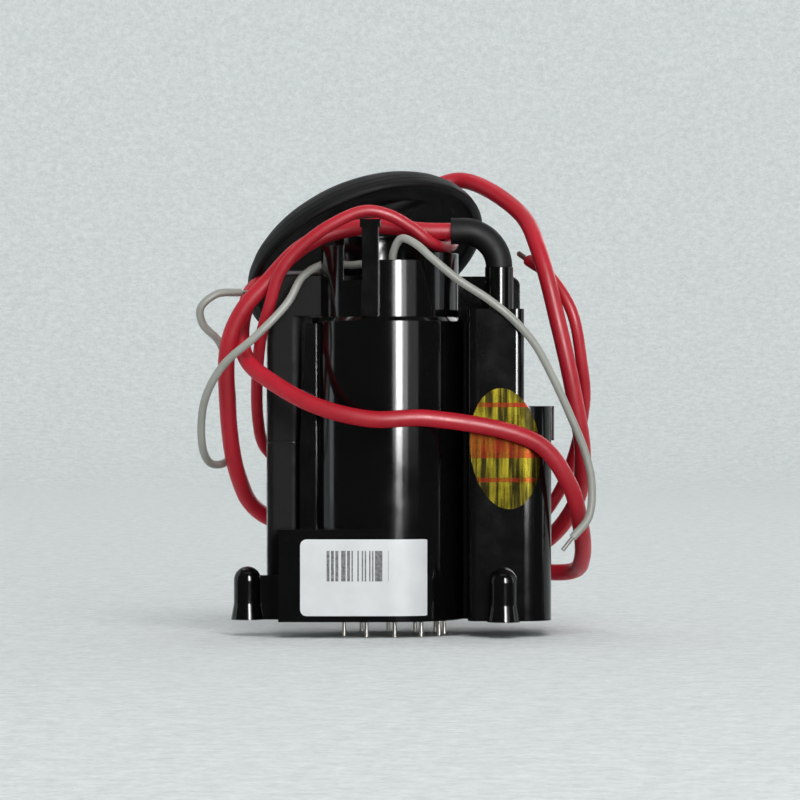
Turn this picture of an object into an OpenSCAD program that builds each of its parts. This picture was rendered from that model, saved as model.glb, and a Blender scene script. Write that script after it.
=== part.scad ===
// Flyback transformer: potted coil case with ferrite core, focus unit and wound leads.
// Upright as on its board: +Z up, front towards -Y, origin on the seating plane at the coil axis.

/* [Coil case] */
// Outer radius of the round coil chamber
case_r = 19; // [18:0.5:22]
// Height of the coil chamber's shoulder above the board
case_h = 75; // [68:1:90]
// Wall thickness of the moulded case
case_wall = 1.6; // [1.2:0.1:2]
// Thickness of the chamber's top plate
top_plate = 2; // [1.5:0.1:3]
// How far the neck stands in from the coil chamber
neck_inset = 1.5; // [0.5:0.1:2]
// Height of the neck above the shoulder
neck_h = 14; // [12:0.5:18]
// Wall thickness of the neck
neck_wall = 2; // [1.5:0.1:2.5]
// Extra height of the neck's left tooth
left_tooth = 3.7; // [1:0.1:6]
// Extra height of the neck's right tooth
right_tooth = 2; // [1:0.1:6]
// Extra height of the neck's rear tooth
rear_tooth = 7; // [1:0.1:8]
// Extra height of the upright front post
front_post = 10; // [4:0.1:12]
// Width of the upright front post
front_post_w = 4.2; // [3:0.1:6]

/* [Side block] */
// Width of the rectifier block beside the coil chamber
block_w = 13.9; // [12.5:0.1:18]
// Distance of the block's front face from the coil axis
block_front = 15; // [13:0.5:17]
// Distance of the block's rear face from the coil axis
block_back = 20; // [19.5:0.5:24]
// Height of the block
block_h = 77; // [72:1:90]
// Width of the lower wing on the block's right
wing_w = 6.9; // [5.5:0.1:9]
// Height of the wing
wing_h = 53; // [48:1:60]
// Radius of the outlet tower
tower_r = 3.5; // [3.3:0.1:4.5]
// Height of the outlet tower above the block
tower_h = 10.5; // [9:0.5:14]
// Height of the flat-fronted foot
foot_h = 22.7; // [21.5:0.1:28]
// How far the foot reaches past the coil chamber
foot_reach = 8; // [6:0.5:9]

/* [Screw posts] */
// Radius of a screw post
post_r = 3.4; // [3:0.1:4]
// Height of a screw post with its domed top
post_h = 13.2; // [12:0.1:16]
// Radius of the screw hole
post_hole_r = 1.3; // [1:0.05:1.6]
// Depth of the screw hole
post_hole_depth = 9; // [6:0.5:9.5]

/* [Ferrite core] */
// Radius of the leg inside the coil
core_leg_r = 7; // [6:0.1:7.2]
// Thickness of the outer leg
outer_leg_t = 8.5; // [7:0.1:9]
// Width of the yokes and of the outer leg
yoke_w = 16; // [14.8:0.1:17]
// Height of each yoke
yoke_h = 10; // [8:0.1:11]
// Height of the lower yoke's underside above the board
core_base = 2.5; // [2:0.1:4]
// Air gap between the two core halves
core_gap = 0.4; // [0.2:0.05:1]
// How far the outer leg is turned towards the back
core_turn = 11; // [8:0.5:14]

/* [Windings] */
// Wall thickness of the bobbins
bobbin_wall = 1; // [0.8:0.05:1.2]
// Thickness of the primary winding
primary_t = 2.4; // [1.5:0.1:2.5]
// Number of slots in the secondary bobbin
secondary_slots = 8; // [5:1:10]
// Depth of the slots in the secondary bobbin
slot_depth = 3.6; // [2.5:0.1:3.7]

/* [Terminal pins] */
// Number of pins
pin_count = 10; // [6:1:10]
// Radius of the circle that the pins stand on
pin_circle_r = 14; // [13.5:0.1:14.2]
// Radius of a pin
pin_r = 0.5; // [0.4:0.05:0.6]
// Length of a pin below the board's face
pin_reach = 4; // [3:0.1:5]

/* [Focus unit] */
// Width of the focus unit
focus_w = 29.5; // [27:0.5:32]
// Depth of the focus unit
focus_d = 18; // [16:0.5:22]
// Height of the focus unit's lower face above the board
focus_z = 24; // [23:0.5:27]
// Height of the focus unit
focus_h = 62; // [56:0.5:64]
// Radius of the adjusting knobs
knob_r = 6.5; // [5:0.1:8]
// Height of the adjusting knobs
knob_h = 5.5; // [4:0.1:8]
// Distance between the knobs
knob_pitch = 30; // [26:0.5:32]

/* [Leads] */
// Diameter of the high-voltage lead
hv_d = 4.2; // [3.6:0.1:4.2]
// Diameter of the focus lead
focus_lead_d = 3; // [2.4:0.1:3]
// Diameter of the grey leads
grey_d = 2; // [1.6:0.1:2]
// Radius of the anode cap's rim
cap_r = 32; // [28:0.5:33]
// Height of the anode cap's dome
cap_h = 14.5; // [13:0.5:18]

/* [Hidden] */
$fn = 64;
eps = 0.01;
// Clearance between nested pieces that are glued or potted together
snug = 0.1;
// Clearance round the core and at the seats of the core halves
core_clear = 0.4;
// Clearance between pieces that turn and pieces that stand still
run_clear = 0.3;

case_black = "#141414";
ferrite_grey = "#3a3a3c";
copper = "#a5562a";
resin_black = "#22201e";
bobbin_tan = "#8a8272";
tin_grey = "#b9b9bb";
brass = "#b99a4a";
rubber_black = "#1c1c1d";
lead_red = "#c8202c";
lead_grey = "#a9a9a7";

// Coil chamber and neck
chamber_r = case_r - case_wall;
neck_r = case_r - neck_inset;
neck_top = case_h + neck_h;
shoulder_bevel = 1;

// Side block, wing and tower
block_gap = 0.6;
block_left = case_r + block_gap;
block_right = block_left + block_w;
block_corner = 2;
wing_right = block_right + wing_w;
wing_step = 2;
wing_back = block_back - wing_step;
hook_h = 8.5;
hook_lip = 0.8;
hook_d = 6;
tower_shift = 1;
tower_x = block_left + block_w / 2 + tower_shift;
tower_y = -5;
tower_top = block_h + tower_h;

// Fin beside the core's outer leg
fin_t = 1.8;
fin_y = -7.6;
fin_root = 1.2;
fin_reach = 3;
fin_below = 1.5;
fin_slope = 30;
fin_cut = 1.6;

// Ferrite core, in the core's own direction along -X before it is turned
core_reach = case_r + 2 + outer_leg_t / 2;
yoke_top = core_base + yoke_h;
upper_yoke = case_h + core_clear;
core_top = upper_yoke + yoke_h;
gap_z = (yoke_top + upper_yoke) / 2;
leg_corner = 2;
clip_r = 0.8;
clip_arm = 13;

// Bobbins and windings, from the core outwards
flange_t = 2;
flange_z = yoke_top + core_clear;
coil_z = flange_z + flange_t;
plate_under = case_h - top_plate;
bobbin_in = core_leg_r + core_clear;
bobbin_out = bobbin_in + bobbin_wall;
primary_out = bobbin_out + primary_t;
secondary_in = primary_out + 3 * snug;
drum_wall = 1.2;
rib_t = 1;
winding_below = 0.6;
secondary_floor = secondary_in + drum_wall;
rib_r = secondary_floor + slot_depth;
secondary_h = plate_under - coil_z - snug;

// Terminal pins in their pillars
pin_step = 29;
pillar_r = 1.8;
pillar_foot = 1;
pin_shoulder = 0.1;
pin_shoulder_r = pin_r + pin_shoulder;
pin_top = flange_z + flange_t / 2;

// Screw posts
post_flare = 0.7;
post_flare_r = post_r + post_flare;
post_flare_h = 4;
web_t = 2.4;
web_h = 11;
left_post_reach = 8;
left_post_y = -6;
right_post_reach = 8.7;
post_sink = 0.3;
left_post = [-(case_r + foot_reach + left_post_reach), left_post_y];
right_post = [block_left + right_post_reach, -(block_front + post_r - post_sink)];

// Chamber of the side block with the smoothing capacitor and the rectifiers
room_x0 = block_left + case_wall;
room_x1 = block_right - case_wall;
room_y0 = -block_front + case_wall;
room_y1 = block_back - case_wall;
room_z1 = block_h - case_wall;
fill_z = 5;
capacitor_t = 7;
capacitor_d = 22;
capacitor_h = 30;
capacitor_z = 12;
diode_r = 1.9;
diode_l = 14;
diode_count = 3;
diode_pitch = 8;
diode_gap = 6;
diode_z = capacitor_z + capacitor_h + diode_gap;
diode_wire_r = 0.5;
diode_wire_l = 4;
room_mid = [(room_x0 + room_x1) / 2, (room_y0 + room_y1) / 2];

// Outlet sleeve and its contact
lead_clear = 0.2;
bore_r = hv_d / 2 + lead_clear;
sleeve_wall = 1;
sleeve_r = bore_r + sleeve_wall;
sleeve_spigot = 8;
sleeve_bend = 9;
sleeve_end = 3;
sleeve_floor = 0.5;
sleeve_over = 0.5;
over_tooth = neck_top + right_tooth + sleeve_over;
sleeve_rise = max(0, over_tooth + sleeve_r - sleeve_bend - tower_top);
contact_h = 8;

// Focus unit behind the block
focus_x1 = block_right;
focus_x0 = focus_x1 - focus_w;
focus_wall = 1.6;
cover_t = 1.6;
focus_y0 = block_back;
focus_y1 = focus_y0 + focus_d;
focus_top = focus_z + focus_h;
board_t = 1.2;
board_depth = 6;
board_y = focus_y1 - cover_t - board_depth;
focus_corner = 2.4;
focus_corner_min = 0.6;
ledge_w = 2;
track_t = 0.2;
track_r = 8;
track_w = 2;
knob_x = (focus_x0 + focus_x1) / 2;
knob_zs = [for (side = [1, -1]) focus_z + focus_h / 2 + side * knob_pitch / 2];
shaft_r = 2.4;
collar_r = 4;
collar_t = 1.2;
grip_count = 10;
grip_r = 1.1;
grip_out = 0.3;
knob_rim = 1;
driver_w = 1.4;
driver_depth = 2;
driver_end = 1.6;
wiper_t = 0.4;
wiper_w = 2.4;
wiper_edge = 0.6;
wiper_dot = 0.8;
bush_in = 10;
bush_back = 5;
bush_x = focus_x0 + bush_in;
bush_y = focus_y0 + bush_back;
bush_r = 2.1;
bush_flange = 3.2;
bush_taper = 0.6;
bush_seat = 0.5;
bush_h = 2;

// Bush of the grey leads on the chamber's top plate
pair_y = -11.7;
pair_bush_r = 2.9;
pair_gap = 0.2;

// Anode cap, tilted back and rolled over the top
cap_place = [-5.8, 27.6, 89.8];
cap_turn = [-30, -24, 0];
cap_wall = 2;
cap_bead = 1.2;
hub_r = 6.5;
hub_rise = 2.5;
hub_h = cap_h + hub_rise;
nozzle_l = 22;
nozzle_drop = 2;
nozzle_h = cap_h - nozzle_drop;
nozzle_wall = 1.2;
nozzle_r = bore_r + nozzle_wall;
nozzle_depth = 9;
clip_disc_r = 4;
clip_hook = 3;

// Labels
label_t = 0.2;
label_reach = 2.6;
label_left = -(case_r + label_reach);
label_z = [1.5, 20.3];
label_turn = 30;
label_corner = 1.6;
seal_t = 0.2;
seal_size = [8.7, 15];
seal_tilt = 6;
seal_z = 42.5;
seal_in = 9.2;
seal_x = block_left + seal_in;
glue_gap = 0.02;

// Routes of the leads
hv_route = [
    [17.8, -5, 96.5], [9, -5, 96.6], [-3, -4.2, 97.8], [-15, -3.6, 95.8], [-22.5, -4.7, 91.8],
    [-29.6, -5.5, 84.4], [-36.4, -5.2, 76.6], [-39.8, -3.8, 68.5], [-40.4, -0.5, 57.5],
    [-38, 9.5, 35.5], [-32, 17, 25.5], [14, 24.4, 12.5], [38, 24.5, 10.5], [46.8, 18.5, 11],
    [48.8, 7, 15], [47.8, -5, 23.5], [44.5, -13.2, 34], [36.5, -17.2, 44], [10, -21.6, 50],
    [-4, -22.3, 49.8], [-17, -19.4, 52.8], [-28, -13.2, 58.5], [-34.6, -7.2, 63.8],
    [-36.8, 0, 70], [-36, 6, 77.5], [-33, 12.5, 83.5], [-18, 23.5, 83.5], [-13, 26, 50],
    [-7, 27.4, 29], [5, 28.8, 16.5], [36, 29, 16], [47, 18.5, 27], [49, 9, 40], [46.3, 4, 57],
    [42.5, 3.2, 74], [38.2, 7.5, 91], [33.5, 18.5, 102], [19, 33.2, 111.2], [11.3, 33.9, 109.3],
    [1.9, 33.9, 105.1]
];
focus_route = [
    [14, 25, 88], [14.2, 23.5, 92.5], [16, 17, 94.6], [15.5, 2, 93.1], [13.2, -3.5, 92.6],
    [10.4, -8, 93.6], [6, -9.6, 97], [0, -10.9, 100.3], [-6, -11.3, 101.2], [-14.5, -11.2, 97.6],
    [-22, -10.3, 92], [-26.8, -9.4, 86], [-29.6, -7, 77.5], [-32, -2, 68.8], [-33, 10, 50],
    [-31, 15.5, 42], [-23, 20.8, 36.5], [-11, 21.8, 29.5], [2, 22, 20.5], [34, 24, 21],
    [43, 23, 30], [49.5, 12, 53], [48.5, 7.5, 65], [46, 6, 77], [40.5, 10, 86], [35.5, 16, 90]
];
screen_route = [
    [1.2, -11.7, 77], [1.2, -11.7, 85], [1.3, -12.2, 91], [3.2, -13.6, 94.3], [6.6, -15.6, 93],
    [10.5, -17.2, 89.6], [17, -17.8, 84.2], [24.5, -17.8, 79.3], [30.4, -17.4, 74.6],
    [36, -16.2, 68.3], [40.6, -14.4, 60], [45, -12.8, 50.5], [48.8, -11.8, 41],
    [50.3, -11.5, 33.5], [49.5, -11.8, 25.5], [45.5, -12.3, 20.5]
];
earth_route = [
    [-1.2, -11.7, 77], [-1.2, -11.7, 84], [-3.2, -10.3, 87.8], [-9.5, -5.6, 88],
    [-16, -3.2, 88.3], [-21.2, -6.3, 85.2], [-25, -9, 78.5], [-32.5, -10.6, 70.5],
    [-41, -8.5, 63], [-45.8, -5, 54], [-46.5, -0.5, 43], [-44.5, 6, 38.5], [-40.5, 12, 39.5],
    [-39.5, 12.5, 49], [-40, 9.5, 60], [-42.5, 5.5, 69], [-46.5, 2.5, 73.5], [-47, 1, 77.5],
    [-43, 1.5, 81], [-37, 4, 81.5]
];
cord_sides = 8;
tip_l = 4;

// Shared shapes

module rounded_plate(x0, y0, x1, y1, r) {
    translate([x0 + r, y0]) square([x1 - x0 - 2 * r, y1 - y0]);
    translate([x0, y0 + r]) square([x1 - x0, y1 - y0 - 2 * r]);
    for (x = [x0 + r, x1 - r], y = [y0 + r, y1 - r]) translate([x, y]) circle(r);
}

module ring(r_out, r_in, z0, z1) {
    translate([0, 0, z0]) difference() {
        cylinder(r = r_out, h = z1 - z0);
        translate([0, 0, -eps]) cylinder(r = r_in, h = z1 - z0 + 2 * eps);
    }
}

// A shape drawn in X and Z, extruded along Y from y0 to y1
module along_y(y0, y1) {
    translate([0, y1, 0]) rotate([90, 0, 0]) linear_extrude(y1 - y0) children();
}

function unit(v) = v / norm(v);
function heading(p, i) = unit(p[min(i + 1, len(p) - 1)] - p[max(i - 1, 0)]);
function square_to(n, t) = unit(n - (n * t) * t);
function side_vectors(p, i = 0, made = []) =
    i == len(p) ? made
    : side_vectors(p, i + 1, concat(made, [
        square_to(i == 0 ? [0.31, 0.83, 0.47] : made[i - 1], heading(p, i))
    ]));

// One round tube swept along a route, with a ring at each of its points
module tube(route, d) {
    n = len(route);
    sides = side_vectors(route);
    points = [
        for (i = [0 : n - 1], k = [0 : cord_sides - 1])
            let (a = 360 * k / cord_sides, t = heading(route, i), s = sides[i])
            route[i] + d / 2 * (cos(a) * s + sin(a) * cross(t, s))
    ];
    walls = [
        for (i = [0 : n - 2], k = [0 : cord_sides - 1])
            let (a = i * cord_sides + k, b = i * cord_sides + (k + 1) % cord_sides)
            each [[a, a + cord_sides, b], [b, a + cord_sides, b + cord_sides]]
    ];
    first = [for (k = [0 : cord_sides - 1]) k];
    last = [for (k = [cord_sides - 1 : -1 : 0]) (n - 1) * cord_sides + k];
    polyhedron(points, concat(walls, [first, last]));
}

// Ferrite core

module core_plan(grow = 0) {
    half = yoke_w / 2 + grow;
    circle(half);
    rounded_plate(-core_reach - outer_leg_t / 2 - grow, -half, 0, half, leg_corner);
}

module leg_plan(grow = 0) {
    half = yoke_w / 2 + grow;
    leg = outer_leg_t / 2 + grow;
    rounded_plate(-core_reach - leg, -half, -core_reach + leg, half, leg_corner);
}

module turned() {
    rotate([0, 0, -core_turn]) children();
}

module core_upper() {
    leg_z = gap_z + core_gap / 2;
    color(ferrite_grey) turned() {
        translate([0, 0, upper_yoke]) linear_extrude(yoke_h) core_plan();
        translate([0, 0, leg_z]) cylinder(r = core_leg_r, h = upper_yoke - leg_z + 1);
        translate([0, 0, leg_z]) linear_extrude(upper_yoke - leg_z + 1) leg_plan();
    }
}

module core_lower() {
    leg_l = gap_z - core_gap / 2 - core_base;
    color(ferrite_grey) turned() translate([0, 0, core_base]) {
        linear_extrude(yoke_h) core_plan();
        cylinder(r = core_leg_r, h = leg_l);
        linear_extrude(leg_l) leg_plan();
    }
}

module core_shims() {
    color("#c8b878") turned() translate([0, 0, gap_z - core_gap / 2]) {
        cylinder(r = core_leg_r - snug, h = core_gap);
        linear_extrude(core_gap) leg_plan(-snug);
    }
}

// Spring wire that holds the two core halves together
module core_clip() {
    x = -(core_reach + outer_leg_t / 2 + clip_r + snug);
    low = core_base - clip_r - snug;
    high = core_top + clip_r + snug;
    color(tin_grey) turned() {
        translate([x, 0, low]) cylinder(r = clip_r, h = high - low);
        for (z = [low, high]) translate([x, 0, z]) {
            sphere(clip_r);
            rotate([0, 90, 0]) cylinder(r = clip_r, h = clip_arm);
        }
    }
}

// Coil case

// Room that the core needs in the case: both yokes and the outer leg
module core_room() {
    turned() {
        translate([0, 0, -eps]) linear_extrude(yoke_top + core_clear + eps) core_plan(core_clear);
        translate([0, 0, upper_yoke - core_clear]) linear_extrude(yoke_h + neck_h) core_plan(core_clear);
        translate([0, 0, -eps]) linear_extrude(core_top + neck_h) leg_plan(core_clear);
    }
}

module neck_tooth(x0, x1, y0, y1, rise) {
    intersection() {
        ring(neck_r, neck_r - neck_wall, case_h - eps, neck_top + rise);
        translate([x0, y0, 0]) cube([x1 - x0, y1 - y0, neck_top + rise]);
    }
}

module neck() {
    post_x = -0.37 * neck_r;
    notch_w = 4.5;
    notch_z = neck_top - 5;
    head = 0.5;
    difference() {
        union() {
            ring(neck_r, neck_r - neck_wall, case_h - eps, neck_top);
            neck_tooth(-neck_r, post_x - notch_w, -neck_r, 0, left_tooth);
            neck_tooth(neck_r / 2, neck_r, -neck_r, neck_r / 3, right_tooth);
            neck_tooth(-neck_r, neck_r, 0.6 * neck_r, neck_r, rear_tooth);
        }
        translate([post_x - notch_w, -neck_r - eps, notch_z]) cube([notch_w, neck_r / 2, neck_h]);
    }
    translate([post_x, -neck_r, case_h]) cube([front_post_w, neck_wall + 1.4, neck_h + front_post]);
    translate([post_x - head, -neck_r, neck_top + front_post - 2])
        cube([front_post_w + 2 * head, neck_wall + 1.4, 2]);
}

module wing_plan(inset = 0) {
    corner = wing_w - inset;
    difference() {
        union() {
            translate([block_right - block_corner, -block_front + wing_w])
                square([wing_w + block_corner - inset, wing_back + block_front - wing_w - inset]);
            translate([block_right - block_corner, -block_front + inset])
                square([block_corner, wing_w]);
            intersection() {
                translate([block_right, -block_front + wing_w]) circle(corner);
                translate([block_right, -block_front]) square(wing_w);
            }
        }
        if (inset > 0) translate([0, -block_front - 1]) square([block_right + inset, 2 * block_back]);
    }
}

module screw_post(place) {
    translate([place.x, place.y, 0]) {
        cylinder(r1 = post_flare_r, r2 = post_r, h = post_flare_h);
        cylinder(r = post_r, h = post_h - post_r);
        translate([0, 0, post_h - post_r]) sphere(post_r);
    }
}

module screw_hole(place) {
    translate([place.x, place.y, -eps]) cylinder(r = post_hole_r, h = post_hole_depth + eps);
}

module foot_plan(inset = 0) {
    translate([-(case_r + foot_reach) + inset, -case_r + inset])
        square([case_r + foot_reach - inset, case_r - 3 - 2 * inset]);
}

// Fin that guides the core's outer leg, rising from the foot to the shoulder
module leg_guide() {
    root = -(case_r - fin_root);
    tip = -(case_r + fin_reach);
    low = foot_h - fin_root;
    high = case_h - fin_below;
    along_y(fin_y, fin_y + fin_t)
        polygon([[root, low], [tip, low], [tip, high - fin_slope], [tip + fin_cut, high], [root, high]]);
}

module case_solid() {
    cylinder(r = case_r, h = case_h - shoulder_bevel);
    translate([0, 0, case_h - shoulder_bevel])
        cylinder(r1 = case_r, r2 = case_r - shoulder_bevel, h = shoulder_bevel);
    neck();
    linear_extrude(block_h)
        rounded_plate(block_left, -block_front, block_right, block_back, block_corner);
    linear_extrude(case_h - shoulder_bevel)
        translate([case_r / 2, -0.2 * case_r]) square([case_r / 2 + 4, case_r]);
    linear_extrude(wing_h) wing_plan();
    translate([wing_right - wing_w, -hook_d, wing_h - hook_h]) cube([wing_w + hook_lip, hook_d, hook_h]);
    linear_extrude(foot_h) foot_plan();
    leg_guide();
    translate([tower_x, tower_y, block_h - 1]) cylinder(r = tower_r, h = tower_h + 1);
    screw_post(left_post);
    screw_post(right_post);
    translate([left_post.x, left_post.y - web_t / 2, 0])
        cube([-left_post.x - case_r - foot_reach + 1, web_t, web_h]);
}

module room_plan(inset = 0) {
    translate([room_x0 + inset, room_y0 + inset])
        square([room_x1 - room_x0 - 2 * inset, room_y1 - room_y0 - 2 * inset]);
}

module coil_case() {
    color(case_black) difference() {
        case_solid();
        translate([0, 0, -eps]) cylinder(r = chamber_r, h = plate_under + eps);
        translate([0, 0, plate_under - eps]) cylinder(r = bobbin_in, h = top_plate + 2 * eps);
        translate([0, 0, -eps]) linear_extrude(room_z1) room_plan();
        translate([tower_x, tower_y, room_z1 - 1]) cylinder(r = bore_r, h = case_wall + tower_h + 2);
        translate([0, 0, -eps]) linear_extrude(wing_h - case_wall) wing_plan(case_wall);
        translate([0, 0, -eps]) linear_extrude(foot_h - case_wall) difference() {
            foot_plan(case_wall);
            circle(case_r);
        }
        translate([0, pair_y, plate_under - eps]) cylinder(r = grey_d + pair_gap, h = top_plate + 2 * eps);
        core_room();
        screw_hole(left_post);
        screw_hole(right_post);
    }
}

// Windings and potting

module primary_bobbin() {
    pillar_angles = [for (i = [0 : pin_count - 1]) pin_step * (i - (pin_count - 1) / 2)];
    top = plate_under - snug;
    color(bobbin_tan) difference() {
        union() {
            ring(bobbin_out, bobbin_in, flange_z, top);
            ring(rib_r, bobbin_in, flange_z, coil_z);
            ring(primary_out, bobbin_in, top - flange_t, top);
            for (a = pillar_angles) rotate([0, 0, a - core_turn]) translate([pin_circle_r, 0, pillar_foot])
                cylinder(r = pillar_r, h = coil_z - pillar_foot);
        }
        for (a = pillar_angles) rotate([0, 0, a - core_turn]) translate([pin_circle_r, 0, pillar_foot - eps])
            cylinder(r = pin_shoulder_r + snug / 2, h = pin_top - pillar_foot + 2 * eps);
    }
}

module terminal_pins() {
    color(tin_grey) for (i = [0 : pin_count - 1])
        rotate([0, 0, pin_step * (i - (pin_count - 1) / 2) - core_turn]) translate([pin_circle_r, 0, 0]) {
            translate([0, 0, -pin_reach]) cylinder(r = pin_r, h = pin_reach + pillar_foot + eps);
            translate([0, 0, pillar_foot]) cylinder(r = pin_shoulder_r, h = pin_top - pillar_foot);
        }
}

module primary_winding() {
    color(copper) ring(primary_out, bobbin_out + snug, coil_z + snug, plate_under - flange_t - 2 * snug);
}

function slot_low(i) = coil_z + rib_t + i * (secondary_h - rib_t) / secondary_slots;
slot_w = (secondary_h - rib_t) / secondary_slots - rib_t;

module secondary_bobbin() {
    color("#d8d2c0") {
        ring(secondary_floor, secondary_in, coil_z, coil_z + secondary_h);
        ring(rib_r, secondary_in, coil_z, coil_z + rib_t);
        for (i = [0 : secondary_slots - 1])
            ring(rib_r, secondary_in, slot_low(i) + slot_w, slot_low(i) + slot_w + rib_t);
    }
}

module secondary_winding() {
    color(copper) for (i = [0 : secondary_slots - 1])
        ring(rib_r - winding_below, secondary_floor + snug, slot_low(i) + snug, slot_low(i) + slot_w - snug);
}

module capacitor_shape(grow = 0) {
    translate([room_mid.x, room_mid.y, capacitor_z - grow]) linear_extrude(capacitor_h + 2 * grow)
        rounded_plate(
            -capacitor_t / 2 - grow, -capacitor_d / 2 - grow,
            capacitor_t / 2 + grow, capacitor_d / 2 + grow, capacitor_t / 4
        );
}

module diode_shapes(grow = 0) {
    for (i = [0 : diode_count - 1])
        translate([room_mid.x, room_mid.y, diode_z + i * diode_pitch]) rotate([90, 0, 0]) {
            cylinder(r = diode_r + grow, h = diode_l + 2 * grow, center = true);
            cylinder(r = diode_wire_r + grow, h = diode_l + 2 * (diode_wire_l + grow), center = true);
        }
}

module contact_shape(grow = 0) {
    top = tower_top - sleeve_spigot - snug;
    translate([tower_x, tower_y, top - contact_h - grow])
        cylinder(r = bore_r - snug + grow, h = contact_h + 2 * grow);
}

module case_potting() {
    color(resin_black) {
        ring(chamber_r - snug, rib_r + snug, flange_z, plate_under - snug);
        difference() {
            translate([0, 0, fill_z]) linear_extrude(room_z1 - fill_z - snug) room_plan(snug);
            capacitor_shape(snug);
            diode_shapes(snug);
            contact_shape(snug);
        }
    }
}

module rectifier_diodes() {
    color("#26262a") diode_shapes();
}

module smoothing_capacitor() {
    color("#7a4a26") capacitor_shape();
}

// Outlet sleeve

module hv_contact() {
    color(brass) contact_shape();
}

module hv_sleeve() {
    color(rubber_black) translate([tower_x, tower_y, tower_top]) {
        translate([0, 0, -sleeve_spigot]) cylinder(r = bore_r - snug, h = sleeve_spigot + eps);
        if (sleeve_rise > 0) cylinder(r = sleeve_r, h = sleeve_rise + eps);
        translate([-sleeve_bend, 0, sleeve_rise]) rotate([90, 0, 0])
            rotate_extrude(angle = 90) translate([sleeve_bend, 0]) circle(sleeve_r);
        translate([-sleeve_bend, 0, sleeve_rise + sleeve_bend]) rotate([0, -90, 0]) difference() {
            cylinder(r = sleeve_r, h = sleeve_end);
            translate([0, 0, sleeve_floor]) cylinder(r = bore_r, h = sleeve_end);
        }
    }
}

// Focus unit

module focus_plan(inset = 0) {
    rounded_plate(
        focus_x0 + inset, focus_z + inset, focus_x1 - inset, focus_top - inset,
        max(focus_corner - inset, focus_corner_min)
    );
}

module focus_case() {
    color(case_black) difference() {
        union() {
            difference() {
                along_y(focus_y0, focus_y1 - cover_t) focus_plan();
                along_y(focus_y0 + focus_wall, focus_y1) focus_plan(focus_wall);
            }
            along_y(focus_y0 + focus_wall - eps, board_y) difference() {
                focus_plan(focus_wall - eps);
                focus_plan(focus_wall + ledge_w);
            }
        }
        translate([bush_x, bush_y, focus_top - focus_wall - ledge_w - 1])
            cylinder(r = bush_r + snug, h = focus_wall + ledge_w + 2);
    }
}

module focus_board() {
    color("#d9d6cf") along_y(board_y, board_y + board_t) focus_plan(focus_wall + snug);
}

// Two printed arcs that the wipers run on
module resistor_tracks() {
    y = board_y + board_t;
    color("#2a2420") for (z = knob_zs) translate([knob_x, y + track_t, z]) rotate([90, 0, 0])
        linear_extrude(track_t) difference() {
            circle(track_r + track_w / 2);
            circle(track_r - track_w / 2);
            translate([-track_w, -2 * track_r]) square([2 * track_w, 2 * track_r]);
        }
}

module focus_cover() {
    color(case_black) difference() {
        along_y(focus_y1 - cover_t, focus_y1) focus_plan();
        for (z = knob_zs) translate([knob_x, focus_y1 + eps, z]) rotate([90, 0, 0])
            cylinder(r = shaft_r + run_clear, h = cover_t + 2 * eps);
    }
}

// Adjusting knob with grip notches, a driver slot, its shaft and the inner collar
module knob(z, shade) {
    shaft_l = knob_h + cover_t + 2 * run_clear + collar_t;
    color(shade) translate([knob_x, focus_y1 + run_clear + knob_h, z]) rotate([90, 0, 0]) {
        difference() {
            union() {
                cylinder(r = knob_r, h = knob_h);
                cylinder(r = shaft_r, h = shaft_l);
            }
            for (i = [0 : grip_count - 1])
                rotate([0, 0, 360 * i / grip_count]) translate([knob_r + grip_out, 0, -eps])
                cylinder(r = grip_r, h = knob_h - knob_rim);
            translate([-driver_w / 2, -knob_r + driver_end, -eps])
                cube([driver_w, 2 * (knob_r - driver_end), driver_depth]);
        }
        translate([0, 0, shaft_l - collar_t]) cylinder(r = collar_r, h = collar_t);
    }
}

module focus_knob() {
    knob(knob_zs[0], "#202022");
}

module screen_knob() {
    knob(knob_zs[1], "#202022");
}

// Spring wiper on a knob's collar, with its contact just off the track
module wiper(z) {
    y_seat = focus_y1 - cover_t - run_clear - collar_t;
    y_track = board_y + board_t + track_t;
    color(brass) translate([knob_x, y_seat, z]) rotate([90, 0, 0]) {
        cylinder(r = collar_r - wiper_edge, h = wiper_t);
        translate([-wiper_w / 2, 0, 0]) cube([wiper_w, track_r + wiper_dot, wiper_t]);
        translate([0, track_r, 0]) cylinder(r = wiper_dot, h = y_seat - y_track - run_clear);
    }
}

module focus_wiper() {
    wiper(knob_zs[0]);
}

module screen_wiper() {
    wiper(knob_zs[1]);
}

module focus_bush() {
    color(rubber_black) translate([bush_x, bush_y, focus_top]) difference() {
        union() {
            cylinder(r1 = bush_flange, r2 = bush_flange - bush_taper, h = bush_h);
            translate([0, 0, -focus_wall - ledge_w]) cylinder(r = bush_r, h = focus_wall + ledge_w + eps);
        }
        translate([0, 0, bush_h - bush_seat]) cylinder(r = focus_lead_d / 2 + snug, h = 2 * bush_seat);
    }
}

// Leads and the pieces on them

module hv_lead() {
    color(lead_red) tube(hv_route, hv_d);
}

module focus_lead() {
    color(lead_red) tube(focus_route, focus_lead_d);
}

module screen_lead() {
    color(lead_grey) tube(screen_route, grey_d);
}

module earth_lead() {
    color(lead_grey) tube(earth_route, grey_d);
}

module lead_tip(route, d) {
    end = route[len(route) - 1];
    way = unit(end - route[len(route) - 2]);
    tube([end, end + tip_l * way], d);
}

module lead_tips() {
    color(tin_grey) {
        lead_tip(focus_route, focus_lead_d / 2);
        lead_tip(screen_route, grey_d / 2);
        lead_tip(earth_route, grey_d / 2);
    }
}

module lead_bush() {
    color(rubber_black) translate([0, pair_y, 0]) {
        translate([0, 0, case_h]) cylinder(r1 = pair_bush_r, r2 = pair_bush_r - bush_taper, h = bush_h);
        translate([0, 0, plate_under]) cylinder(r = grey_d, h = top_plate + eps);
    }
}

function dome(r, h, steps = 12) = [for (i = [0 : steps]) [r * cos(90 * i / steps), h * sin(90 * i / steps)]];

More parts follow.
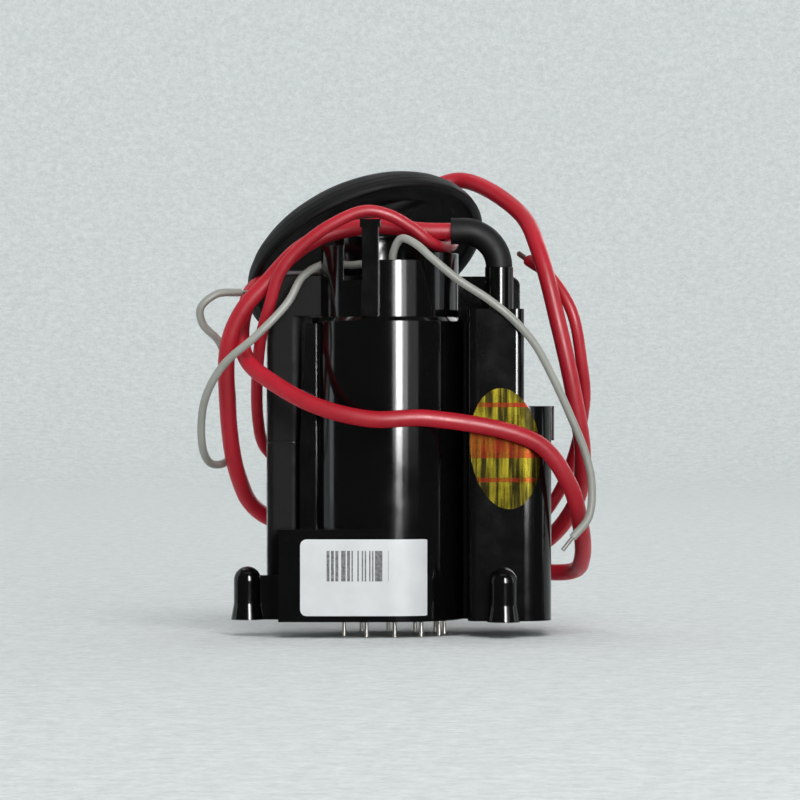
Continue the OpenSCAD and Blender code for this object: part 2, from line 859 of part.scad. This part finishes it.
module cap_frame() {
    translate(cap_place) rotate(cap_turn) children();
}

module anode_cap() {
    outer = dome(cap_r, cap_h);
    inner = dome(cap_r - cap_wall, cap_h - cap_wall);
    color(rubber_black) cap_frame() difference() {
        union() {
            rotate_extrude() {
                polygon(concat(outer, [for (i = [len(inner) - 1 : -1 : 0]) inner[i]]));
                translate([cap_r - cap_bead, cap_bead / 2]) circle(cap_bead);
            }
            translate([0, 0, cap_h - cap_wall]) cylinder(r = hub_r, h = hub_h - cap_h + cap_wall);
            translate([0, 0, nozzle_h]) rotate([0, 90, 0]) cylinder(r = nozzle_r, h = nozzle_l);
        }
        translate([nozzle_l - nozzle_depth, 0, nozzle_h]) rotate([0, 90, 0])
            cylinder(r = bore_r, h = nozzle_depth + 1);
    }
}

// Spring contact in the cap: a disc with two hooked arms
module anode_clip() {
    seat = nozzle_h - nozzle_r - snug;
    arm_t = 0.8;
    arm_w = 3;
    arm_l = seat - 1;
    color(tin_grey) cap_frame() {
        translate([0, 0, seat - arm_t]) cylinder(r = clip_disc_r, h = arm_t);
        for (side = [-1, 1]) {
            translate([side * (clip_disc_r - arm_t) - arm_t / 2, -arm_w / 2, seat - arm_l])
                cube([arm_t, arm_w, arm_l - 0.5]);
            translate([
                side * (clip_disc_r + clip_hook / 2 - arm_t) - clip_hook / 2, -arm_w / 2, seat - arm_l
            ])
                cube([clip_hook, arm_w, arm_t]);
        }
    }
}

// Labels

module label_sheet() {
    translate([label_left, -case_r - label_t]) square([-label_left, label_t]);
    intersection() {
        difference() {
            circle(case_r + label_t);
            circle(case_r + glue_gap);
        }
        polygon([[0, 0], [0, -2 * case_r], [2 * case_r * tan(label_turn), -2 * case_r]]);
    }
}

module white_label() {
    right = case_r * sin(label_turn) + 1;
    color("#e8e8e6") intersection() {
        linear_extrude(label_z[1]) label_sheet();
        along_y(-2 * case_r, 0) rounded_plate(label_left, label_z[0], right, label_z[1], label_corner);
    }
}

module seal_sheet() {
    translate([block_left, -block_front - seal_t]) square([block_w, seal_t]);
    intersection() {
        translate([block_right, -block_front + wing_w]) difference() {
            circle(wing_w + seal_t);
            circle(wing_w + glue_gap);
        }
        translate([block_right, -block_front - 1]) square(wing_w + 1);
    }
}

module foil_seal() {
    color("#a88c1c") intersection() {
        linear_extrude(seal_z + 2 * seal_size.y) seal_sheet();
        along_y(-2 * block_front, 0) translate([seal_x, seal_z]) rotate(seal_tilt)
            polygon([for (a = [0 : 10 : 350]) [seal_size.x * cos(a), seal_size.y * sin(a)]]);
    }
}

coil_case();
case_potting();
primary_bobbin();
primary_winding();
secondary_bobbin();
secondary_winding();
rectifier_diodes();
smoothing_capacitor();
core_upper();
core_lower();
core_shims();
core_clip();
terminal_pins();
focus_case();
focus_cover();
focus_board();
resistor_tracks();
focus_knob();
screen_knob();
focus_wiper();
screen_wiper();
focus_bush();
hv_sleeve();
hv_contact();
hv_lead();
anode_cap();
anode_clip();
focus_lead();
lead_bush();
screen_lead();
earth_lead();
lead_tips();
white_label();
foil_seal();
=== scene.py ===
"""Looks of a flyback transformer: leads, finishes, stage, light and camera around its CAD frame."""

import math

import bpy
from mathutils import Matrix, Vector


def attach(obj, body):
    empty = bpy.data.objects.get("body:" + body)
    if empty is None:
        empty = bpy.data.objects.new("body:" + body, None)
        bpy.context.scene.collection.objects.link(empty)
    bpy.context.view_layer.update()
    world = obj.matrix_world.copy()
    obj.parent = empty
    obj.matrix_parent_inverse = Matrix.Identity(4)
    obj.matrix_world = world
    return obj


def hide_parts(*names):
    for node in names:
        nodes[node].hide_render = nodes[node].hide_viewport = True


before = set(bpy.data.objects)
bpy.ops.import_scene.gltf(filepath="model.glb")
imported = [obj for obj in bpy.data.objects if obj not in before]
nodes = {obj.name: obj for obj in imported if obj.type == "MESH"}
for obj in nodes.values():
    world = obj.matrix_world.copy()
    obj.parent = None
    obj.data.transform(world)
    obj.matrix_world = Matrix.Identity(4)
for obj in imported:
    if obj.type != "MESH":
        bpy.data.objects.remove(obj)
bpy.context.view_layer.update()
MM = 0.001
BODY = "transformer"


# Camera: level, straight from the front, four pixels to a millimetre at the coil's axis

PICTURE_SPAN = 0.200
CAMERA_DISTANCE = 1.0
VIEW_X = 0.0029
VIEW_Z = 0.0545
SENSOR = 36.0

camera_data = bpy.data.cameras.new("camera")
camera_data.sensor_width = SENSOR
camera_data.lens = SENSOR * CAMERA_DISTANCE / PICTURE_SPAN
camera_data.clip_start = 0.05
camera_data.clip_end = 20.0
camera = bpy.data.objects.new("camera", camera_data)
camera.location = (VIEW_X, -CAMERA_DISTANCE, VIEW_Z)
camera.rotation_euler = (math.radians(90), 0, 0)
bpy.context.scene.collection.objects.link(camera)
bpy.context.scene.camera = camera


# Leads, along the same points as their CAD tubes, in millimetres

HV_ROUTE = [
    (17.8, -5, 96.5), (9, -5, 96.6), (-3, -4.2, 97.8), (-15, -3.6, 95.8), (-22.5, -4.7, 91.8),
    (-29.6, -5.5, 84.4), (-36.4, -5.2, 76.6), (-39.8, -3.8, 68.5), (-40.4, -0.5, 57.5),
    (-38, 9.5, 35.5), (-32, 17, 25.5), (14, 24.4, 12.5), (38, 24.5, 10.5), (46.8, 18.5, 11),
    (48.8, 7, 15), (47.8, -5, 23.5), (44.5, -13.2, 34), (36.5, -17.2, 44), (10, -21.6, 50),
    (-4, -22.3, 49.8), (-17, -19.4, 52.8), (-28, -13.2, 58.5), (-34.6, -7.2, 63.8),
    (-36.8, 0, 70), (-36, 6, 77.5), (-33, 12.5, 83.5), (-18, 23.5, 83.5), (-13, 26, 50),
    (-7, 27.4, 29), (5, 28.8, 16.5), (36, 29, 16), (47, 18.5, 27), (49, 9, 40), (46.3, 4, 57),
    (42.5, 3.2, 74), (38.2, 7.5, 91), (33.5, 18.5, 102), (19, 33.2, 111.2), (11.3, 33.9, 109.3),
    (1.9, 33.9, 105.1),
]
FOCUS_ROUTE = [
    (14, 25, 88), (14.2, 23.5, 92.5), (16, 17, 94.6), (15.5, 2, 93.1), (13.2, -3.5, 92.6),
    (10.4, -8, 93.6), (6, -9.6, 97), (0, -10.9, 100.3), (-6, -11.3, 101.2), (-14.5, -11.2, 97.6),
    (-22, -10.3, 92), (-26.8, -9.4, 86), (-29.6, -7, 77.5), (-32, -2, 68.8), (-33, 10, 50),
    (-31, 15.5, 42), (-23, 20.8, 36.5), (-11, 21.8, 29.5), (2, 22, 20.5), (34, 24, 21),
    (43, 23, 30), (49.5, 12, 53), (48.5, 7.5, 65), (46, 6, 77), (40.5, 10, 86), (35.5, 16, 90),
]
SCREEN_ROUTE = [
    (1.2, -11.7, 77), (1.2, -11.7, 85), (1.3, -12.2, 91), (3.2, -13.6, 94.3), (6.6, -15.6, 93),
    (10.5, -17.2, 89.6), (17, -17.8, 84.2), (24.5, -17.8, 79.3), (30.4, -17.4, 74.6),
    (36, -16.2, 68.3), (40.6, -14.4, 60), (45, -12.8, 50.5), (48.8, -11.8, 41),
    (50.3, -11.5, 33.5), (49.5, -11.8, 25.5), (45.5, -12.3, 20.5),
]
EARTH_ROUTE = [
    (-1.2, -11.7, 77), (-1.2, -11.7, 84), (-3.2, -10.3, 87.8), (-9.5, -5.6, 88),
    (-16, -3.2, 88.3), (-21.2, -6.3, 85.2), (-25, -9, 78.5), (-32.5, -10.6, 70.5),
    (-41, -8.5, 63), (-45.8, -5, 54), (-46.5, -0.5, 43), (-44.5, 6, 38.5), (-40.5, 12, 39.5),
    (-39.5, 12.5, 49), (-40, 9.5, 60), (-42.5, 5.5, 69), (-46.5, 2.5, 73.5), (-47, 1, 77.5),
    (-43, 1.5, 81), (-37, 4, 81.5),
]
HV_DIAMETER = 4.2 * MM
FOCUS_DIAMETER = 3.0 * MM
GREY_DIAMETER = 2.0 * MM
STEPS_PER_SPAN = 8
TUBE_RESOLUTION = 5


def in_metres(route):
    return [Vector(point) * MM for point in route]


def smooth_line(points, steps):
    """Points of a centripetal Catmull-Rom curve through the given points."""
    first = points[0] * 2 - points[1]
    last = points[-1] * 2 - points[-2]
    held = [first, *points, last]
    line = []
    for a, b, c, d in zip(held, held[1:], held[2:], held[3:]):
        t1 = (b - a).length ** 0.5
        t2 = t1 + (c - b).length ** 0.5
        t3 = t2 + (d - c).length ** 0.5
        for step in range(steps):
            t = t1 + (t2 - t1) * step / steps
            ab = a.lerp(b, t / t1)
            bc = b.lerp(c, (t - t1) / (t2 - t1))
            cd = c.lerp(d, (t - t2) / (t3 - t2))
            abc = ab.lerp(bc, t / t2)
            bcd = bc.lerp(cd, (t - t1) / (t3 - t1))
            line.append(abc.lerp(bcd, (t - t1) / (t2 - t1)))
    line.append(points[-1])
    return line


def line_length(line):
    return sum((b - a).length for a, b in zip(line, line[1:]))


def make_lead(name, route, diameter, replaced):
    """A round lead as a bevelled curve on the body, in place of its CAD tube."""
    line = smooth_line(in_metres(route), STEPS_PER_SPAN)
    curve = bpy.data.curves.new(name, "CURVE")
    curve.dimensions = "3D"
    curve.bevel_depth = 1.0
    curve.bevel_resolution = TUBE_RESOLUTION
    curve.use_fill_caps = True
    spline = curve.splines.new("POLY")
    spline.points.add(len(line) - 1)
    for point, place in zip(spline.points, line):
        point.co = (*place, 1)
        point.radius = diameter / 2
    spline.use_smooth = True
    lead = bpy.data.objects.new(name, curve)
    bpy.context.scene.collection.objects.link(lead)
    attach(lead, BODY)
    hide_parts(replaced)
    return lead, line_length(line)


hv_lead, hv_length = make_lead("hv_lead_red", HV_ROUTE, HV_DIAMETER, "hv_lead")
focus_lead, focus_length = make_lead(
    "focus_lead_red", FOCUS_ROUTE, FOCUS_DIAMETER, "focus_lead"
)
screen_lead, screen_length = make_lead(
    "screen_lead_grey", SCREEN_ROUTE, GREY_DIAMETER, "screen_lead"
)
earth_lead, earth_length = make_lead(
    "earth_lead_grey", EARTH_ROUTE, GREY_DIAMETER, "earth_lead"
)


# Materials, all from nodes, in object coordinates that are metres in the frame


class Finish:
    """A Principled material with short ways to make and join its nodes."""

    def __init__(self, name):
        self.material = bpy.data.materials.new(name)
        self.material.use_nodes = True
        self.tree = self.material.node_tree
        self.tree.nodes.clear()
        self.output = self.add("ShaderNodeOutputMaterial")
        self.shader = self.add("ShaderNodeBsdfPrincipled")
        self.join(self.shader.outputs["BSDF"], self.output.inputs["Surface"])
        self.place = self.add("ShaderNodeTexCoord").outputs["Object"]

    def add(self, kind, **settings):
        node = self.tree.nodes.new(kind)
        for key, value in settings.items():
            setattr(node, key, value)
        return node

    def join(self, source, target):
        self.tree.links.new(source, target)

    def feed(self, socket, value):
        """Sets a socket to a number or colour, or joins it to another node's output."""
        if isinstance(value, bpy.types.NodeSocket):
            self.join(value, socket)
        else:
            socket.default_value = value

    def noise(self, scale, detail=3.0, roughness=0.5, place=None):
        node = self.add("ShaderNodeTexNoise")
        self.feed(node.inputs["Vector"], place or self.place)
        node.inputs["Scale"].default_value = scale
        node.inputs["Detail"].default_value = detail
        node.inputs["Roughness"].default_value = roughness
        return node.outputs["Fac"]

    def stretched(self, scale_xyz):
        node = self.add("ShaderNodeMapping")
        self.feed(node.inputs["Vector"], self.place)
        node.inputs["Scale"].default_value = scale_xyz
        return node.outputs["Vector"]

    def specks(self, scale, size):
        """White dots of a given share of their cell, scattered at random."""
        node = self.add("ShaderNodeTexVoronoi")
        self.feed(node.inputs["Vector"], self.place)
        node.inputs["Scale"].default_value = scale
        return self.span(node.outputs["Distance"], 0.0, size, 1.0, 0.0)

    def span(self, value, low, high, to_low=0.0, to_high=1.0):
        node = self.add("ShaderNodeMapRange")
        self.feed(node.inputs["Value"], value)
        node.inputs["From Min"].default_value = low
        node.inputs["From Max"].default_value = high
        node.inputs["To Min"].default_value = to_low
        node.inputs["To Max"].default_value = to_high
        return node.outputs["Result"]

    def math(self, operation, a, b=0.0):
        node = self.add("ShaderNodeMath", operation=operation)
        self.feed(node.inputs[0], a)
        self.feed(node.inputs[1], b)
        return node.outputs["Value"]

    def mix(self, share, a, b):
        node = self.add("ShaderNodeMix", data_type="RGBA")
        self.feed(node.inputs["Factor"], share)
        self.feed(node.inputs["A"], a)
        self.feed(node.inputs["B"], b)
        return node.outputs["Result"]

    def axis(self, name):
        node = self.add("ShaderNodeSeparateXYZ")
        self.feed(node.inputs["Vector"], self.place)
        return node.outputs[name]

    def upward(self, low, high):
        """How much the surface faces up, from 0 at a normal height of low to 1 at high."""
        node = self.add("ShaderNodeSeparateXYZ")
        self.feed(node.inputs["Vector"], self.add("ShaderNodeNewGeometry").outputs["Normal"])
        return self.span(node.outputs["Z"], low, high)

    def rounded_edges(self, radius):
        node = self.add("ShaderNodeBevel", samples=4)
        node.inputs["Radius"].default_value = radius
        return node.outputs["Normal"]

    def bump(self, height, strength, distance, normal=None):
        node = self.add("ShaderNodeBump")
        self.feed(node.inputs["Height"], height)
        node.inputs["Strength"].default_value = strength
        node.inputs["Distance"].default_value = distance
        if normal is not None:
            self.feed(node.inputs["Normal"], normal)
        return node.outputs["Normal"]

    def set(self, **values):
        for key, value in values.items():
            self.feed(self.shader.inputs[key.replace("_", " ")], value)


def rgb(red, green, blue):
    return (red, green, blue, 1.0)


def case_plastic(name="case_plastic", tone=0.0020, gloss=0.11):
    """Glossy black moulding: flow marks, handling smudges, a little dust on the ledges and a few specks."""
    f = Finish(name)
    flow = f.noise(60.0, detail=2.0, place=f.stretched((1, 1, 0.25)))
    smudge = f.noise(140.0, detail=5.0, roughness=0.6)
    wave = f.noise(85.0, detail=2.0, place=f.stretched((1, 1, 0.4)))
    grain = f.noise(2600.0, detail=2.0)
    specks = f.math("MULTIPLY", f.specks(420.0, 0.08), f.span(f.noise(90.0), 0.54, 0.62))
    patches = f.span(f.noise(320.0, detail=6.0), 0.38, 0.75, 0.05, 0.5)
    dust = f.math("MULTIPLY", f.upward(0.80, 0.98), patches)
    pale = f.math("MAXIMUM", f.math("MULTIPLY", specks, 0.22), f.math("MULTIPLY", dust, 0.10))
    black = f.mix(flow, rgb(tone, tone, tone), rgb(tone * 1.8, tone * 1.85, tone * 1.8))
    relief = f.math("ADD", f.math("MULTIPLY", grain, 0.12), wave)
    polish = f.span(smudge, 0.35, 0.75, gloss - 0.03, gloss + 0.04)
    f.set(
        Base_Color=f.mix(pale, black, rgb(0.14, 0.137, 0.13)),
        Roughness=f.math("ADD", polish, f.math("MULTIPLY", dust, 0.3)),
        Normal=f.bump(relief, 0.10, 0.00016, f.rounded_edges(0.00035)),
        IOR=1.48,
        Specular_IOR_Level=0.42,
    )
    return f.material


def ferrite():
    """Pressed and ground ferrite: dark grey, matt, with fine pores."""
    f = Finish("ferrite")
    mottle = f.noise(260.0, detail=4.0)
    grain = f.noise(3200.0, detail=3.0, roughness=0.7)
    grey = f.mix(f.span(mottle, 0.3, 0.7), rgb(0.0018, 0.0018, 0.0014), rgb(0.0040, 0.0039, 0.0031))
    f.set(
        Base_Color=f.mix(f.span(grain, 0.62, 0.70), grey, rgb(0.009, 0.0088, 0.0075)),
        Roughness=f.span(mottle, 0.3, 0.7, 0.55, 0.75),
        Normal=f.bump(grain, 0.35, 0.00008, f.rounded_edges(0.0004)),
        Specular_IOR_Level=0.25,
    )
    return f.material


def rubber():
    """Soft black rubber with bloom and lint."""
    f = Finish("black_rubber")
    bloom = f.noise(110.0, detail=5.0, roughness=0.6)
    grain = f.noise(1900.0, detail=3.0)
    lint = f.math("MULTIPLY", f.specks(520.0, 0.12), f.span(f.noise(70.0), 0.50, 0.62))
    black = f.mix(f.span(bloom, 0.35, 0.75), rgb(0.0018, 0.0019, 0.0019), rgb(0.0050, 0.0053, 0.0053))
    f.set(
        Base_Color=f.mix(f.math("MULTIPLY", lint, 0.3), black, rgb(0.075, 0.075, 0.072)),
        Roughness=f.span(bloom, 0.3, 0.7, 0.48, 0.68),
        Normal=f.bump(grain, 0.18, 0.00008, f.rounded_edges(0.0004)),
        Specular_IOR_Level=0.25,
    )
    return f.material


def insulation(name, deep, bright, gloss):
    """Satin lead insulation with soft changes of tone, handling marks and a fine drawn grain."""
    f = Finish(name)
    tone = f.noise(55.0, detail=3.0)
    marks = f.noise(420.0, detail=4.0, roughness=0.65)
    grain = f.noise(2400.0, detail=2.0)
    colour = f.mix(f.span(tone, 0.3, 0.7), deep, bright)
    dirt = f.span(marks, 0.64, 0.74, 0.0, 0.25)
    dark = tuple(0.55 * part for part in deep[:3]) + (1.0,)
    f.set(
        Base_Color=f.mix(dirt, colour, dark),
        Roughness=f.span(marks, 0.3, 0.75, gloss - 0.05, gloss + 0.15),
        Normal=f.bump(grain, 0.10, 0.00006),
        Specular_IOR_Level=0.4,
    )
    return f.material


BAR_LEFT = -15.1 * MM
BAR_RIGHT = 0.1 * MM
BAR_LOW = 10.0 * MM
BAR_HIGH = 17.5 * MM
BAR_PITCH = 0.36 * MM


def label_paper():
    """Coated white paper with a block of plain dark bars of random widths."""
    f = Finish("label_paper")
    x = f.axis("X")
    z = f.axis("Z")
    fibre = f.noise(1500.0, detail=4.0)
    stain = f.noise(120.0, detail=4.0)
    cell = f.math("FLOOR", f.math("DIVIDE", x, BAR_PITCH))
    chance = f.add("ShaderNodeTexWhiteNoise", noise_dimensions="1D")
    f.feed(chance.inputs["W"], cell)
    bar = f.math("GREATER_THAN", chance.outputs["Value"], 0.44)
    across = f.math("MULTIPLY", f.math("GREATER_THAN", x, BAR_LEFT), f.math("LESS_THAN", x, BAR_RIGHT))
    upright = f.math("MULTIPLY", f.math("GREATER_THAN", z, BAR_LOW), f.math("LESS_THAN", z, BAR_HIGH))
    ink = f.math("MULTIPLY", bar, f.math("MULTIPLY", across, upright))
    worn_ink = f.math("MULTIPLY", ink, f.span(fibre, 0.35, 0.6, 0.75, 0.95))
    paper = f.mix(f.span(stain, 0.35, 0.75), rgb(0.80, 0.81, 0.82), rgb(0.70, 0.71, 0.71))
    f.set(
        Base_Color=f.mix(worn_ink, paper, rgb(0.035, 0.035, 0.045)),
        Roughness=f.span(fibre, 0.3, 0.7, 0.38, 0.52),
        Normal=f.bump(fibre, 0.10, 0.00005),
    )
    return f.material


SEAL_LINES = ((53.3 * MM, 0.55 * MM), (34.8 * MM, 0.55 * MM))
SEAL_BAND = (40.2 * MM, 46.8 * MM)


def gold_foil():
    """Gold foil with upright creases in its bump and painted reflection streaks, bright and dark, in its
    colour, two thin red lines and a plain red-orange band.
    """
    f = Finish("gold_foil")
    z = f.axis("Z")
    crease = f.noise(900.0, detail=3.0, place=f.stretched((1, 1, 0.06)))
    crumple = f.noise(300.0, detail=4.0)
    band = f.math("MULTIPLY", f.math("GREATER_THAN", z, SEAL_BAND[0]), f.math("LESS_THAN", z, SEAL_BAND[1]))
    lines = band
    for height, half in SEAL_LINES:
        away = f.math("ABSOLUTE", f.math("SUBTRACT", z, height))
        lines = f.math("MAXIMUM", lines, f.math("LESS_THAN", away, half))
    # Bright and dark upright streaks in the gold colour: painted reflection of the creases
    gold_with_painted_streaks = f.mix(f.span(crease, 0.44, 0.64), rgb(0.016, 0.013, 0.002), rgb(0.16, 0.132, 0.009))
    print_share = f.math("MULTIPLY", lines, f.span(crumple, 0.35, 0.7, 0.55, 0.9))
    f.set(
        Base_Color=f.mix(print_share, gold_with_painted_streaks, rgb(0.13, 0.009, 0.004)),
        Metallic=0.65,
        Specular_IOR_Level=0.06,
        Roughness=f.span(crumple, 0.3, 0.7, 0.22, 0.36),
        Normal=f.bump(f.math("ADD", crease, f.math("MULTIPLY", crumple, 0.3)), 0.3, 0.00012),
    )
    return f.material


def metal(name, dull, bright, low, high, scale=700.0):
    """Plain metal with tarnish and fine drawing marks."""
    f = Finish(name)
    tarnish = f.noise(scale, detail=4.0, roughness=0.6)
    marks = f.noise(2600.0, detail=2.0, place=f.stretched((1, 1, 0.15)))
    f.set(
        Base_Color=f.mix(f.span(tarnish, 0.35, 0.7), dull, bright),
        Metallic=1.0,
        Roughness=f.span(tarnish, 0.3, 0.75, high, low),
        Normal=f.bump(marks, 0.15, 0.00005, f.rounded_edges(0.00012)),
    )
    return f.material


def winding():
    """Enamelled copper wire laid in close turns."""
    f = Finish("copper_wire")
    turns = f.add("ShaderNodeTexWave", wave_type="BANDS", bands_direction="Z")
    f.feed(turns.inputs["Vector"], f.place)
    turns.inputs["Scale"].default_value = 1100.0
    turns.inputs["Distortion"].default_value = 0.4
    tone = f.noise(180.0, detail=3.0)
    f.set(
        Base_Color=f.mix(tone, rgb(0.42, 0.14, 0.05), rgb(0.62, 0.25, 0.10)),
        Metallic=0.85,
        Roughness=f.span(tone, 0.3, 0.7, 0.28, 0.42),
        Normal=f.bump(turns.outputs["Fac"], 0.8, 0.00012),
    )
    return f.material


def moulded(name, deep, bright, low, high, scale=240.0):
    """Plain moulded or pressed stuff: two close tones, soft gloss changes and a fine grain."""
    f = Finish(name)
    tone = f.noise(scale, detail=4.0)
    grain = f.noise(2200.0, detail=2.0)
    f.set(
        Base_Color=f.mix(f.span(tone, 0.3, 0.7), deep, bright),
        Roughness=f.span(tone, 0.3, 0.7, low, high),
        Normal=f.bump(grain, 0.12, 0.00006, f.rounded_edges(0.0002)),
    )
    return f.material


def dress(finish, *names):
    for name in names:
        slots = nodes[name].data.materials
        slots.clear()
        slots.append(finish)


red_insulation = insulation("red_insulation", rgb(0.47, 0.008, 0.020), rgb(0.64, 0.017, 0.038), 0.36)
grey_insulation = insulation("grey_insulation", rgb(0.33, 0.33, 0.29), rgb(0.46, 0.46, 0.42), 0.42)
for lead, finish in (
    (hv_lead, red_insulation), (focus_lead, red_insulation),
    (screen_lead, grey_insulation), (earth_lead, grey_insulation),
):
    lead.data.materials.append(finish)

dress(case_plastic(), "coil_case", "focus_case", "focus_cover")
dress(case_plastic("knob_plastic", tone=0.010, gloss=0.32), "focus_knob", "screen_knob")
dress(ferrite(), "core_upper", "core_lower")
dress(rubber(), "hv_sleeve", "anode_cap", "focus_bush", "lead_bush")
dress(label_paper(), "white_label")
dress(gold_foil(), "foil_seal")
dress(
    metal("spring_steel", rgb(0.30, 0.30, 0.31), rgb(0.50, 0.50, 0.51), 0.28, 0.42),
    "core_clip", "anode_clip",
)
dress(
    metal("tinned_wire", rgb(0.42, 0.40, 0.36), rgb(0.66, 0.65, 0.62), 0.25, 0.42),
    "terminal_pins", "lead_tips",
)
dress(
    metal("brass_contact", rgb(0.48, 0.33, 0.11), rgb(0.72, 0.53, 0.20), 0.22, 0.38),
    "hv_contact", "focus_wiper", "screen_wiper",
)
dress(winding(), "primary_winding", "secondary_winding")
dress(
    moulded("resin", rgb(0.012, 0.011, 0.010), rgb(0.024, 0.022, 0.020), 0.25, 0.45),
    "case_potting",
)
dress(
    moulded("bobbin_plastic", rgb(0.36, 0.33, 0.27), rgb(0.46, 0.43, 0.36), 0.35, 0.5),
    "primary_bobbin", "secondary_bobbin",
)
dress(
    moulded("rectifier_body", rgb(0.014, 0.014, 0.016), rgb(0.026, 0.026, 0.028), 0.35, 0.5),
    "rectifier_diodes",
)
dress(
    moulded("film_capacitor", rgb(0.26, 0.11, 0.04), rgb(0.36, 0.17, 0.07), 0.2, 0.35),
    "smoothing_capacitor",
)
dress(
    moulded("shim_film", rgb(0.010, 0.008, 0.005), rgb(0.020, 0.016, 0.010), 0.3, 0.45),
    "core_shims",
)
dress(
    moulded("ceramic_board", rgb(0.66, 0.65, 0.62), rgb(0.76, 0.75, 0.72), 0.5, 0.65),
    "focus_board",
)
dress(
    moulded("resistor_ink", rgb(0.016, 0.013, 0.011), rgb(0.030, 0.026, 0.022), 0.4, 0.6),
    "resistor_tracks",
)


# Stage: a pale bowl round the object, in two halves, of which only the back one shows in reflections

FLOOR_Z = -0.004
BOWL_RADIUS = 2.4
BOWL_CURVE = 0.8
BOWL_HEIGHT = 3.0
BOWL_STEPS = 16
BOWL_SIDES = 96


def sheet_finish():
    """Pale foam sheet with a fine grain."""
    f = Finish("stage_sheet")
    near = f.noise(700.0, detail=3.0, roughness=0.7)
    far = f.noise(210.0, detail=3.0, roughness=0.75)
    sparkle = f.math("ADD", f.math("MULTIPLY", near, 0.45), f.math("MULTIPLY", far, 0.55))
    f.set(
        Base_Color=f.mix(f.span(sparkle, 0.36, 0.64), rgb(0.66, 0.69, 0.69), rgb(0.86, 0.89, 0.89)),
        Roughness=0.9,
    )
    return f.material


def make_bowl(name, first_side, finish):
    """Half of the bowl, from one side number round to the opposite one."""
    profile = [(0.0, FLOOR_Z), (BOWL_RADIUS - BOWL_CURVE, FLOOR_Z)]
    for step in range(1, BOWL_STEPS + 1):
        turn = math.radians(90 * step / BOWL_STEPS)
        profile.append((
            BOWL_RADIUS - BOWL_CURVE + BOWL_CURVE * math.sin(turn),
            FLOOR_Z + BOWL_CURVE * (1 - math.cos(turn)),
        ))
    profile.append((BOWL_RADIUS, BOWL_HEIGHT))
    points = [(0.0, 0.0, FLOOR_Z)]
    faces = []
    ring = BOWL_SIDES // 2 + 1
    for radius, height in profile[1:]:
        for side in range(ring):
            turn = 2 * math.pi * (first_side + side) / BOWL_SIDES
            points.append((radius * math.cos(turn), radius * math.sin(turn), height))
    for side in range(ring - 1):
        faces.append((0, 1 + side, 2 + side))
        for level in range(len(profile) - 2):
            low = 1 + level * ring + side
            high = low + ring
            faces.append((low, high, high + 1, low + 1))
    mesh = bpy.data.meshes.new(name)
    mesh.from_pydata(points, [], faces)
    mesh.polygons.foreach_set("use_smooth", [True] * len(mesh.polygons))
    bowl = bpy.data.objects.new(name, mesh)
    bpy.context.scene.collection.objects.link(bowl)
    mesh.materials.append(finish)
    return bowl


sheet = sheet_finish()
make_bowl("stage_back", 0, sheet)
stage_front = make_bowl("stage_front", BOWL_SIDES // 2, sheet)
stage_front.visible_glossy = False


# Light: a soft key from the front and above, washes on the sheet, and panels seen in reflections only


def area_light(name, place, target, width, height, watts, colour=(1.0, 1.0, 1.0)):
    data = bpy.data.lights.new(name, "AREA")
    data.shape = "RECTANGLE"
    data.size = width
    data.size_y = height
    data.energy = watts
    data.color = colour
    lamp = bpy.data.objects.new(name, data)
    lamp.location = place
    lamp.rotation_euler = (Vector(target) - Vector(place)).to_track_quat("-Z", "Y").to_euler()
    lamp.visible_camera = False
    bpy.context.scene.collection.objects.link(lamp)
    return lamp


def reflection_panel(name, place, target, width, height, brightness, colour=(1.0, 1.0, 1.0)):
    """A panel that shows in glossy surfaces and lights nothing else."""
    panel = area_light(name, place, target, width, height, brightness * math.pi * width * height, colour)
    panel.visible_diffuse = False
    return panel


MIDDLE = (0.0, 0.0, 0.05)
KEY_PLACE = (0.35, -1.5, 2.0)
KEY_WIDTH = 1.8
KEY_HEIGHT = 1.4
WINDOW_AIM = (0.0, 0.0, 0.37)
WINDOW_HEIGHT = 0.68
COOL_WHITE = (0.84, 0.93, 1.0)
PALE_BLUE = (0.92, 0.97, 1.0)

soft_key = area_light("soft_key", KEY_PLACE, MIDDLE, KEY_WIDTH, KEY_HEIGHT, watts=28.0)
soft_key.visible_glossy = False
area_light("key_sheen", KEY_PLACE, MIDDLE, KEY_WIDTH, KEY_HEIGHT, watts=8.0)
area_light("front_wash", (0.0, -1.2, 2.6), (0.0, -2.4, 0.4), width=2.2, height=0.6, watts=4.5)
area_light("back_wash", (0.0, 0.9, 2.3), (0.0, 2.4, 0.3), width=2.4, height=0.6, watts=18.0)
for name, place, width, brightness in (
    ("window_strip", (0.29, -1.0, 0.37), 0.16, 44.0),
    ("window_edge", (0.33, -1.02, 0.37), 0.42, 6.0),
    ("window_glow", (0.62, -0.95, 0.37), 0.50, 1.0),
):
    reflection_panel(name, place, WINDOW_AIM, width, WINDOW_HEIGHT, brightness)
reflection_panel(
    "left_panel", (-1.1, 0.1, 0.30), MIDDLE, width=0.16, height=0.8, brightness=1.3, colour=COOL_WHITE
)
reflection_panel(
    "right_panel", (1.2, -0.05, 0.40), MIDDLE, width=0.22, height=0.9, brightness=1.6, colour=PALE_BLUE
)
reflection_panel("rear_panel", (0.7, 1.1, 0.6), MIDDLE, width=0.5, height=0.9, brightness=2.2)

world = bpy.data.worlds.new("world")
world.use_nodes = True
background = world.node_tree.nodes["Background"]
background.inputs["Color"].default_value = rgb(0.94, 0.98, 1.0)
background.inputs["Strength"].default_value = 0.07
bpy.context.scene.world = world
bpy.context.scene.view_settings.view_transform = "Standard"


# Bring the view layer up to date after the changes above

bpy.context.view_layer.update()
